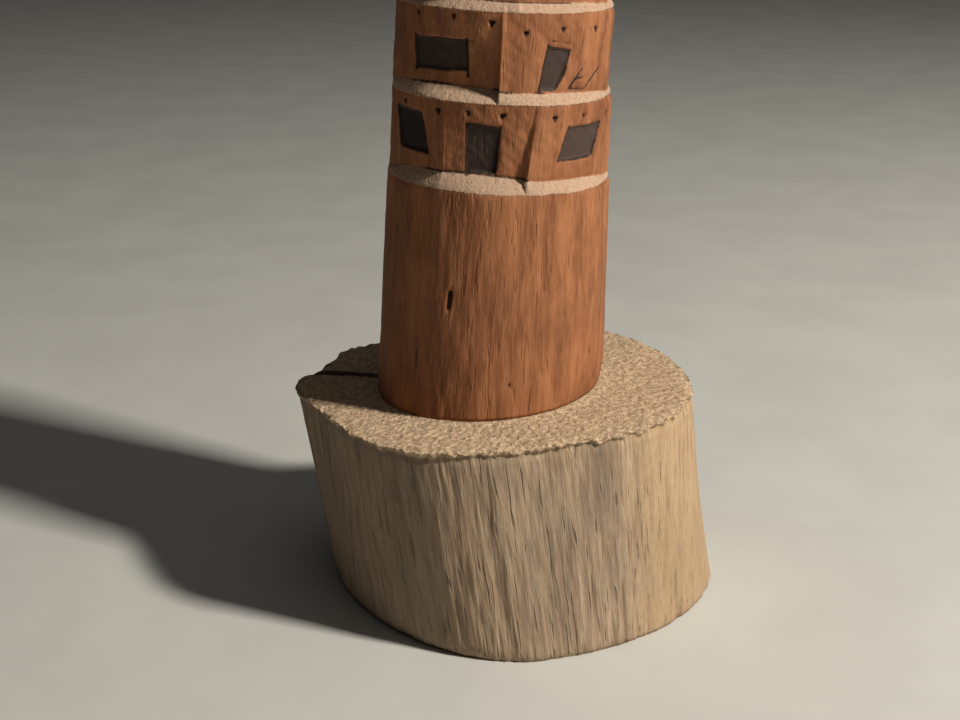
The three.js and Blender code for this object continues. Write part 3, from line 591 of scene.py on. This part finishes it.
def make_log():
    """The log's skin, from the middle of its underside round to the middle of its sawn top. Its side runs
    straight from the foot's outline to the top's, and the crack draws the outline in as a wedge."""
    azimuth = log_columns()
    levels = np.concatenate([np.linspace(0, 0.9, 47), np.linspace(0.912, 1, 18)])
    inwards = np.concatenate([np.linspace(1, 0.55, 42), [0.5, 0.4, 0.28, 0.15, 0.03]])
    under = np.array([0.03, 0.4, 0.75, 0.93, 0.985])
    level = np.concatenate([np.zeros(len(under)), levels, np.ones(len(inwards))])[:, None]
    reach = np.concatenate([under, np.ones(len(levels)), inwards])[:, None]
    side = np.concatenate([under * 0, np.ones(len(levels)), inwards * 0])[:, None] > 0.5
    top = np.concatenate([under * 0, 0 * levels, np.ones(len(inwards))])[:, None] > 0.5
    az, level, reach, side, top = np.broadcast_arrays(azimuth[None, :], level, reach, side, top)

    foot, rim = outline(FOOT_OUTLINE, az), outline(TOP_OUTLINE, az, LIP["height"])
    radius = lerp(foot, rim, level)
    middle_x = lerp(FOOT_OUTLINE["x"], TOP_OUTLINE["x"], level)
    middle_y = lerp(FOOT_OUTLINE["y"], TOP_OUTLINE["y"], level)
    edge_height = BASE_HEIGHT + (TOP_OUTLINE["x"] + rim * np.sin(np.radians(az))) * math.tan(math.radians(TOP_SLOPE))
    height = level * edge_height
    below = (1 - level) * edge_height  # distance below the rim

    # The crack: a wedge, narrower and shallower towards its foot
    share = np.clip((height - CRACK["foot"]) / (BASE_HEIGHT - CRACK["foot"]), 0, 1)
    mouth = lerp(CRACK["mouth"] / 4, CRACK["mouth"], share) * np.where(height > CRACK["foot"] - 1, 1, 0.3)
    depth = lerp(CRACK["foot_reach"], CRACK["reach"], share) * smooth(height, CRACK["foot"] - 2, CRACK["foot"] + 1)
    wander = 0.35 * noise(31, height / 5, height * 0) + 0.15 * noise(32, height / 1.7, height * 0)
    off = np.abs(np.radians(wrapped(az - CRACK["azimuth"])) * radius + wander)
    split = depth * np.maximum(0, 1 - off / (mouth / 2)) ** 0.8
    radius = radius - split

    # Weathered fibres on the side, and the worn lower edge
    grain = height + 0 * az
    coarse = 0.22 * round_noise(41, az, grain, 30, 26) + 0.16 * round_noise(42, az, grain, 70, 13)
    fibres = 0.12 * round_noise(43, az, grain, 170, 9) + 0.09 * round_noise(44, az, grain, 330, 5)
    stroke = round_noise(45, az, grain, 240, 11)
    groove = -0.14 * smooth(stroke, 0.52, 0.85) * (0.6 + 0.4 * round_noise(46, az, grain, 80, 6))
    worn = WORN_EDGE["depth"] * np.exp(-((wrapped(az - WORN_EDGE["azimuth"]) / WORN_EDGE["spread"]) ** 2))
    edge_round = np.maximum(0, 1 - height / 1.2) ** 2
    away = worn * np.maximum(0, 1 - height / 2.5) + 0.45 * edge_round
    relief = coarse + fibres + groove - away

    # The furry fringe that the saw left at the front, hanging over the side
    front = smooth(wrapped(az + 10), -100, -84) * (1 - smooth(wrapped(az + 10), 66, 110))
    spikes = 0.5 + 0.5 * round_noise(51, az, grain * 0, 200, 1)
    tufts = 0.5 + 0.5 * round_noise(52, az, grain * 0, 90, 1)
    ragged = (0.25 + 1.15 * spikes * tufts + 0.5 * np.maximum(0, round_noise(53, az, grain * 0, 330, 1))) * front
    fringe = below - ragged
    overhang = (0.3 + 0.2 * round_noise(54, az, below, 300, 0.7)) * smooth(-fringe, -0.1, 0.25) * front
    under_fringe = 0.25 * smooth(below, ragged + 0.1, ragged + 0.4) * (1 - smooth(below, ragged + 0.5, 3)) * front

    # The broken rim behind the crack
    broken = smooth(az, -126, -121) * (1 - smooth(az, -109.6, -108.4))
    jag = 0.5 + 0.5 * round_noise(55, az, grain * 0, 140, 1)
    chamfer = broken * (1.1 + 0.8 * jag)
    relief = relief - chamfer * np.maximum(0, 1 - below / 2.2) * 0.8
    relief = relief + overhang - under_fringe
    radius = np.where(side | top, radius + np.where(side, relief, relief[len(under) + len(levels) - 1]), radius - away)
    x = middle_x + reach * radius * np.sin(np.radians(az))
    y = middle_y - reach * radius * np.cos(np.radians(az))

    # The sawn top: torn end grain, roughest near the rim
    flat = BASE_HEIGHT + x * math.tan(math.radians(TOP_SLOPE))
    in_from_rim = (1 - reach) * radius
    from_doll = np.hypot(x, y)
    open_top = smooth(from_doll, FOOT_RADIUS, FOOT_RADIUS + 1.5)
    torn = 0.16 * noise(61, x / 0.9 + 400, y / 0.7 + 400) + 0.1 * noise(62, x / 0.45 + 400, y / 0.45 + 400)
    burr = 0.28 * noise(63, x / 0.6 + 400, y / 1.1 + 400)
    torn = torn + burr * np.exp(-in_from_rim / 1.3)
    sag = -0.35 * np.exp(-in_from_rim / 1.0) - chamfer * np.exp(-((in_from_rim / 1.6) ** 2))
    lifted = flat + open_top * (torn + sag) + (1 - open_top) * (SEAT_GAP - 0.05)
    side_drop = (0.35 + chamfer - burr) * np.exp(-below / 1.2)
    z = np.where(top, lifted, np.where(side, height - side_drop * level, 0.0))
    z = np.where(side, np.maximum(z, 0.0), z)

    masks = dict(
        sawn=np.where(top, -1 - in_from_rim, np.where(side, np.where(front > 0.02, fringe, 0.3 + below), 9.0)),
        split=-split + 0.25,
        broken=np.where(top, in_from_rim - chamfer * 1.2, below - chamfer * 1.1) + (broken < 0.05) * 9,
        groove=np.where(side, stroke, -1.0),
        across=np.radians(az) * 37,
        up=np.where(side, height, 60.0),
    )
    shell = np.stack([x, y, z], axis=-1) * MM + np.array([SEAT.x, SEAT.y, 0])
    return closed_surface("weathered_log", shell, masks)


# ---- Materials ----

class Nodes:
    """A node tree that is filled in from its inputs to its output."""

    def __init__(self, tree):
        self.tree = tree

    def add(self, kind, settings=None, **inputs):
        node = self.tree.nodes.new(kind)
        for key, value in (settings or {}).items():
            setattr(node, key, value)
        for key, value in inputs.items():
            self.feed(node.inputs[key.replace("_", " ")] if not key[0].isdigit() else node.inputs[int(key)], value)
        return node

    def feed(self, socket, value):
        if isinstance(value, bpy.types.NodeSocket):
            self.tree.links.new(value, socket)
        else:
            socket.default_value = value

    def math(self, operation, *values, clamp=False):
        node = self.add("ShaderNodeMath", dict(operation=operation, use_clamp=clamp))
        for socket, value in zip(node.inputs, values):
            self.feed(socket, value)
        return node.outputs[0]

    def stretch(self, vector, scale):
        node = self.add("ShaderNodeVectorMath", dict(operation="MULTIPLY"))
        self.feed(node.inputs[0], vector)
        self.feed(node.inputs[1], scale)
        return node.outputs[0]

    def noise(self, vector, scale, detail=3.0, roughness=0.55, distortion=0.0):
        return self.add("ShaderNodeTexNoise", Vector=vector, Scale=scale, Detail=detail, Roughness=roughness,
                        Distortion=distortion).outputs["Fac"]

    def ramp(self, value, start, end, low=0.0, high=1.0, curve="SMOOTHSTEP"):
        node = self.add("ShaderNodeMapRange", dict(interpolation_type=curve))
        for socket, number in zip(node.inputs[:5], (value, start, end, low, high)):
            self.feed(socket, number)
        return node.outputs[0]

    def mix(self, share, first, second, blend="MIX"):
        node = self.add("ShaderNodeMix", dict(data_type="RGBA", blend_type=blend))
        self.feed(node.inputs[0], share)
        self.feed(node.inputs[6], first if not isinstance(first, tuple) else (*first, 1))
        self.feed(node.inputs[7], second if not isinstance(second, tuple) else (*second, 1))
        return node.outputs[2]

    def mask(self, name):
        return self.add("ShaderNodeAttribute", dict(attribute_name=name)).outputs["Fac"]

    def group(self, group, **inputs):
        node = self.add("ShaderNodeGroup", dict(node_tree=group))
        for key, value in inputs.items():
            self.feed(node.inputs[key.replace("_", " ")], value)
        return node.outputs


def new_group(name, inputs, outputs):
    """An empty node group with its sockets: each input has its kind and its first value."""
    tree = bpy.data.node_groups.new(name, "ShaderNodeTree")
    for key, (kind, value) in inputs.items():
        socket = tree.interface.new_socket(key, in_out="INPUT", socket_type=kind)
        if value is not None:
            socket.default_value = value
    for key, kind in outputs.items():
        tree.interface.new_socket(key, in_out="OUTPUT", socket_type=kind)
    nodes = Nodes(tree)
    return tree, nodes, nodes.add("NodeGroupInput").outputs, nodes.add("NodeGroupOutput").inputs


def wood_grain():
    """Wood fibres along Z: soft streaks, fine fibres, short dark pores, and the height they make together."""
    tree, nodes, given, out = new_group(
        "wood_grain",
        {"Vector": ("NodeSocketVector", None), "Scale": ("NodeSocketFloat", 700.0),
         "Length": ("NodeSocketFloat", 0.1)},
        {"Streaks": "NodeSocketFloat", "Fibres": "NodeSocketFloat", "Pores": "NodeSocketFloat",
         "Height": "NodeSocketFloat"})
    long = nodes.add("ShaderNodeCombineXYZ", X=1.0, Y=1.0, Z=given["Length"]).outputs[0]
    along = nodes.stretch(given["Vector"], long)
    streaks = nodes.noise(along, nodes.math("MULTIPLY", given["Scale"], 0.35), 4.0, 0.6)
    fibres = nodes.noise(along, given["Scale"], 4.0, 0.65, 0.3)
    fine = nodes.noise(along, nodes.math("MULTIPLY", given["Scale"], 2.6), 2.0, 0.6)
    pores = nodes.ramp(nodes.noise(along, nodes.math("MULTIPLY", given["Scale"], 1.5), 1.0, 0.5, 0.2), 0.62, 0.72)
    nodes.feed(out["Streaks"], streaks)
    nodes.feed(out["Fibres"], nodes.math("ADD", nodes.math("MULTIPLY", fibres, 0.6), nodes.math("MULTIPLY", fine, 0.4)))
    nodes.feed(out["Pores"], pores)
    rise = nodes.math("ADD", fibres, nodes.math("MULTIPLY", fine, 0.5))
    nodes.feed(out["Height"], nodes.math("SUBTRACT", rise, nodes.math("MULTIPLY", pores, 0.6)))
    return tree


def ragged_edge():
    """A mask that is 1 where a distance is under 0, with an edge that noise makes ragged."""
    tree, nodes, given, out = new_group(
        "ragged_edge",
        {"Distance": ("NodeSocketFloat", 0.0), "Vector": ("NodeSocketVector", None),
         "Scale": ("NodeSocketFloat", 1500.0), "Ragged": ("NodeSocketFloat", 0.3), "Soft": ("NodeSocketFloat", 0.08)},
        {"Mask": "NodeSocketFloat"})
    wobble = nodes.math("SUBTRACT", nodes.noise(given["Vector"], given["Scale"], 3.0, 0.6), 0.5)
    moved = nodes.math("ADD", given["Distance"], nodes.math("MULTIPLY", wobble, given["Ragged"]))
    soft = given["Soft"]
    nodes.feed(out["Mask"], nodes.ramp(moved, soft, nodes.math("MULTIPLY", soft, -1.0)))
    return tree


def dirt():
    """Handling dirt and dust: broad soft blotches with a fine speckle in them."""
    tree, nodes, given, out = new_group(
        "dirt",
        {"Vector": ("NodeSocketVector", None), "Scale": ("NodeSocketFloat", 60.0)},
        {"Blotches": "NodeSocketFloat", "Specks": "NodeSocketFloat"})
    nodes.feed(out["Blotches"], nodes.noise(given["Vector"], given["Scale"], 4.0, 0.6))
    fine = nodes.noise(given["Vector"], nodes.math("MULTIPLY", given["Scale"], 40.0), 2.0, 0.5)
    nodes.feed(out["Specks"], nodes.ramp(fine, 0.6, 0.75))
    return tree


def new_material(name):
    material = bpy.data.materials.new(name)
    material.use_nodes = True
    material.node_tree.nodes.clear()
    return material, Nodes(material.node_tree)


def finish_material(nodes, color, roughness, height, distance):
    bump = nodes.add("ShaderNodeBump", Strength=1.0, Distance=distance, Height=height).outputs[0]
    shader = nodes.add("ShaderNodeBsdfPrincipled", Base_Color=color, Roughness=roughness, Normal=bump)
    shader.inputs["Specular IOR Level"].default_value = 0.28
    nodes.add("ShaderNodeOutputMaterial", Surface=shader.outputs[0])


def stained_cottonwood(grain, edge, dust):
    """Reddish-brown stain on the carving, bare pale wood on the ledges, grey-black paint in the openings, burnt
    lines, and painted shade along the crease at each wall's foot."""
    material, nodes = new_material("stained_cottonwood")
    place = nodes.add("ShaderNodeTexCoord").outputs["Object"]
    turned = nodes.add("ShaderNodeMapping", Vector=place).outputs[0]
    turned.node.inputs["Rotation"].default_value = (0, -_lean, 0)
    wood = nodes.group(grain, Vector=turned, Scale=900.0, Length=0.13)
    spots = nodes.group(dust, Vector=turned, Scale=55.0)
    color = nodes.mix(nodes.ramp(wood["Streaks"], 0.35, 0.65), STAIN["dark"], STAIN["light"])
    color = nodes.mix(nodes.ramp(wood["Fibres"], 0.42, 0.64, 0.0, 0.5), color, STAIN["fibre"])
    color = nodes.mix(nodes.math("MULTIPLY", wood["Pores"], 0.25), color, STAIN["pore"])
    color = nodes.mix(nodes.ramp(spots["Blotches"], 0.45, 0.75, 0.0, 0.5), color, STAIN["handled"])

    bare = nodes.group(edge, Distance=nodes.mask("bare"), Vector=turned, Scale=900.0, Ragged=0.9, Soft=0.15)["Mask"]
    fluff = nodes.noise(turned, 1700.0, 3.0, 0.7)
    raw = nodes.mix(nodes.ramp(fluff, 0.3, 0.7), BARE_WOOD["dark"], BARE_WOOD["light"])
    color = nodes.mix(bare, color, raw)

    scratch = nodes.noise(nodes.stretch(turned, (1.0, 1.0, 0.4)), 1500.0, 3.0, 0.7)
    paint = nodes.mix(nodes.mask("grey"), PAINT["black"], PAINT["grey"])
    paint = nodes.mix(nodes.ramp(scratch, 0.5, 0.8, 0.0, 0.5), paint, PAINT["worn"])
    pane = nodes.group(edge, Distance=nodes.mask("pane"), Vector=turned, Scale=1500.0, Ragged=0.35, Soft=0.1)["Mask"]
    color = nodes.mix(pane, color, paint)

    line = nodes.group(edge, Distance=nodes.mask("line"), Vector=turned, Scale=1300.0, Ragged=0.3, Soft=0.1)["Mask"]
    hole = nodes.group(edge, Distance=nodes.mask("hole"), Vector=turned, Scale=1300.0, Ragged=0.35, Soft=0.12)["Mask"]
    # This mask also holds the painted shade along the walls' feet
    burnt = nodes.math("MAXIMUM", line, hole)
    color = nodes.mix(nodes.math("MULTIPLY", burnt, 0.93), color, BURNT_AND_PAINTED_SHADE)

    rough = nodes.ramp(wood["Streaks"], 0.3, 0.7, 0.62, 0.78)
    rough = nodes.math("ADD", rough, nodes.math("MULTIPLY", bare, 0.2), clamp=True)
    rise = nodes.math("ADD", wood["Height"], nodes.math("MULTIPLY", nodes.math("MULTIPLY", bare, fluff), 0.8))
    finish_material(nodes, color, rough, rise, 0.00016)
    return material


def weathered_cottonwood(grain, edge, dust):
    """Grey-brown weathered fibres on the log's side, with painted shade darkening its left side, paler torn end
    grain on its sawn top and fringe, and dark old wood in the crack and on the broken rim."""
    material, nodes = new_material("weathered_cottonwood")
    place = nodes.add("ShaderNodeTexCoord").outputs["Object"]
    turned = nodes.add("ShaderNodeMapping", Vector=place).outputs[0]
    turned.node.inputs["Rotation"].default_value = (0, math.radians(7.5), 0)
    wood = nodes.group(grain, Vector=turned, Scale=850.0, Length=0.07)
    spots = nodes.group(dust, Vector=turned, Scale=38.0)
    across = nodes.mask("across")
    up = nodes.mask("up")

    color = nodes.mix(nodes.ramp(wood["Streaks"], 0.3, 0.68), WEATHERED["dark"], WEATHERED["light"])
    color = nodes.mix(nodes.ramp(wood["Fibres"], 0.45, 0.66, 0.0, 0.6), color, WEATHERED["fibre"])
    color = nodes.mix(nodes.math("MULTIPLY", wood["Pores"], 0.6), color, WEATHERED["pore"])
    color = nodes.mix(nodes.ramp(spots["Blotches"], 0.42, 0.72, 0.0, 0.5), color, WEATHERED["dusty"])
    golden = nodes.ramp(across, 20.0, 34.0, 0.0, 0.55)
    color = nodes.mix(golden, color, WEATHERED["golden"])
    stain_x = nodes.math("ABSOLUTE", nodes.math("SUBTRACT", across, 19.8))
    stain = nodes.math("MULTIPLY", nodes.ramp(stain_x, 4.2, 1.2), nodes.ramp(up, 22.0, 34.0))
    stain = nodes.math("MULTIPLY", stain, nodes.ramp(wood["Streaks"], 0.3, 0.6, 0.35, 0.8))
    color = nodes.mix(stain, color, WEATHERED["stained"])
    # Painted shade: the log's left side, away from the key lamp, is mixed towards the darker grey
    painted_shade_on_left = nodes.ramp(across, -8.0, -18.0, 0.0, 0.45)
    color = nodes.mix(painted_shade_on_left, color, WEATHERED["grey"])
    grooves = nodes.ramp(nodes.mask("groove"), 0.5, 0.85, 0.0, 0.25)
    color = nodes.mix(grooves, color, WEATHERED["groove"])

    crumb = nodes.noise(place, 1100.0, 4.0, 0.7)
    patches = nodes.noise(place, 190.0, 3.0, 0.6)
    raw = nodes.mix(nodes.ramp(crumb, 0.32, 0.66), SAWN["dark"], SAWN["light"])
    raw = nodes.mix(nodes.ramp(patches, 0.5, 0.75, 0.0, 0.4), raw, SAWN["patch"])
    sawn = nodes.group(edge, Distance=nodes.mask("sawn"), Vector=turned, Scale=1400.0, Ragged=0.7, Soft=0.12)["Mask"]
    color = nodes.mix(sawn, color, raw)
    split = nodes.group(edge, Distance=nodes.mask("split"), Vector=turned, Scale=700.0, Ragged=0.5, Soft=0.3)["Mask"]
    broken = nodes.group(edge, Distance=nodes.mask("broken"), Vector=turned, Scale=700.0, Ragged=0.9, Soft=0.3)["Mask"]
    old = nodes.math("MAXIMUM", nodes.math("MULTIPLY", split, 0.9), nodes.math("MULTIPLY", broken, 0.8))
    color = nodes.mix(old, color, OLD_WOOD)

    rough = nodes.ramp(wood["Streaks"], 0.3, 0.7, 0.82, 0.95)
    side_rise = nodes.math("MULTIPLY", wood["Height"], nodes.math("SUBTRACT", 1.0, sawn))
    rise = nodes.math("ADD", side_rise, nodes.math("MULTIPLY", nodes.math("MULTIPLY", crumb, sawn), 2.2))
    finish_material(nodes, color, rough, rise, 0.00028)
    return material


def floor_material():
    material, nodes = new_material("plain_floor")
    place = nodes.add("ShaderNodeTexCoord").outputs["Object"]
    tone = nodes.ramp(nodes.noise(place, 30.0), 0.3, 0.7)
    color = nodes.mix(tone, FLOOR["dark"], FLOOR["light"])
    finish_material(nodes, color, nodes.ramp(tone, 0.0, 1.0, 0.5, 0.55), tone, 0.00001)
    return material


# ---- The studio ----

def make_camera():
    camera = bpy.data.objects.new("camera", bpy.data.cameras.new("camera"))
    camera.data.lens = CAMERA["lens"]
    camera.data.sensor_width = CAMERA["sensor"]
    camera.data.clip_start = 0.01
    camera.location = SEAT + Vector(CAMERA["place"]) * MM
    camera.rotation_euler = (math.radians(CAMERA["tilt"]), 0, 0)
    bpy.context.collection.objects.link(camera)
    bpy.context.scene.camera = camera


def add_light(name, azimuth, elevation, distance, size, power, color):
    """A square light that looks at the middle of the doll from an azimuth and an elevation."""
    light = bpy.data.lights.new(name, "AREA")
    light.size = size
    light.energy = power
    light.color = color
    turn, rise = math.radians(azimuth), math.radians(elevation)
    towards = Vector((math.sin(turn) * math.cos(rise), -math.cos(turn) * math.cos(rise), math.sin(rise)))
    lamp = bpy.data.objects.new(name, light)
    lamp.location = SEAT + Vector((0, 0, 0.03)) + towards * distance
    lamp.rotation_euler = towards.to_track_quat("Z", "Y").to_euler()
    bpy.context.collection.objects.link(lamp)


def make_studio():
    floor = closed_floor()
    floor.data.materials.append(floor_material())
    for name, lamp in LAMPS.items():
        add_light(name, **lamp)
    world = bpy.data.worlds.new("studio")
    world.use_nodes = True
    world.node_tree.nodes["Background"].inputs["Color"].default_value = SKY["color"]
    world.node_tree.nodes["Background"].inputs["Strength"].default_value = SKY["strength"]
    bpy.context.scene.world = world
    bpy.context.scene.view_settings.view_transform = "Standard"


def closed_floor():
    """A wide flat square under the log."""
    half = 2.0
    mesh = bpy.data.meshes.new("floor")
    mesh.from_pydata([(-half, -half, 0), (half, -half, 0), (half, half, 0), (-half, half, 0)], [], [(0, 1, 2, 3)])
    floor = bpy.data.objects.new("floor", mesh)
    bpy.context.collection.objects.link(floor)
    return floor


make_camera()
make_studio()
shared = wood_grain(), ragged_edge(), dirt()
doll, log = make_doll(), make_log()
for piece, node, slot, material in (
    (doll, "doll_figure", "stained_wood", stained_cottonwood(*shared)),
    (log, "log_base", "weathered_wood", weathered_cottonwood(*shared)),
):
    piece.data.materials.append(material)
    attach(piece, "root")
    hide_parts(node)
    print(piece.name, len(piece.data.polygons) * 2, "triangles")
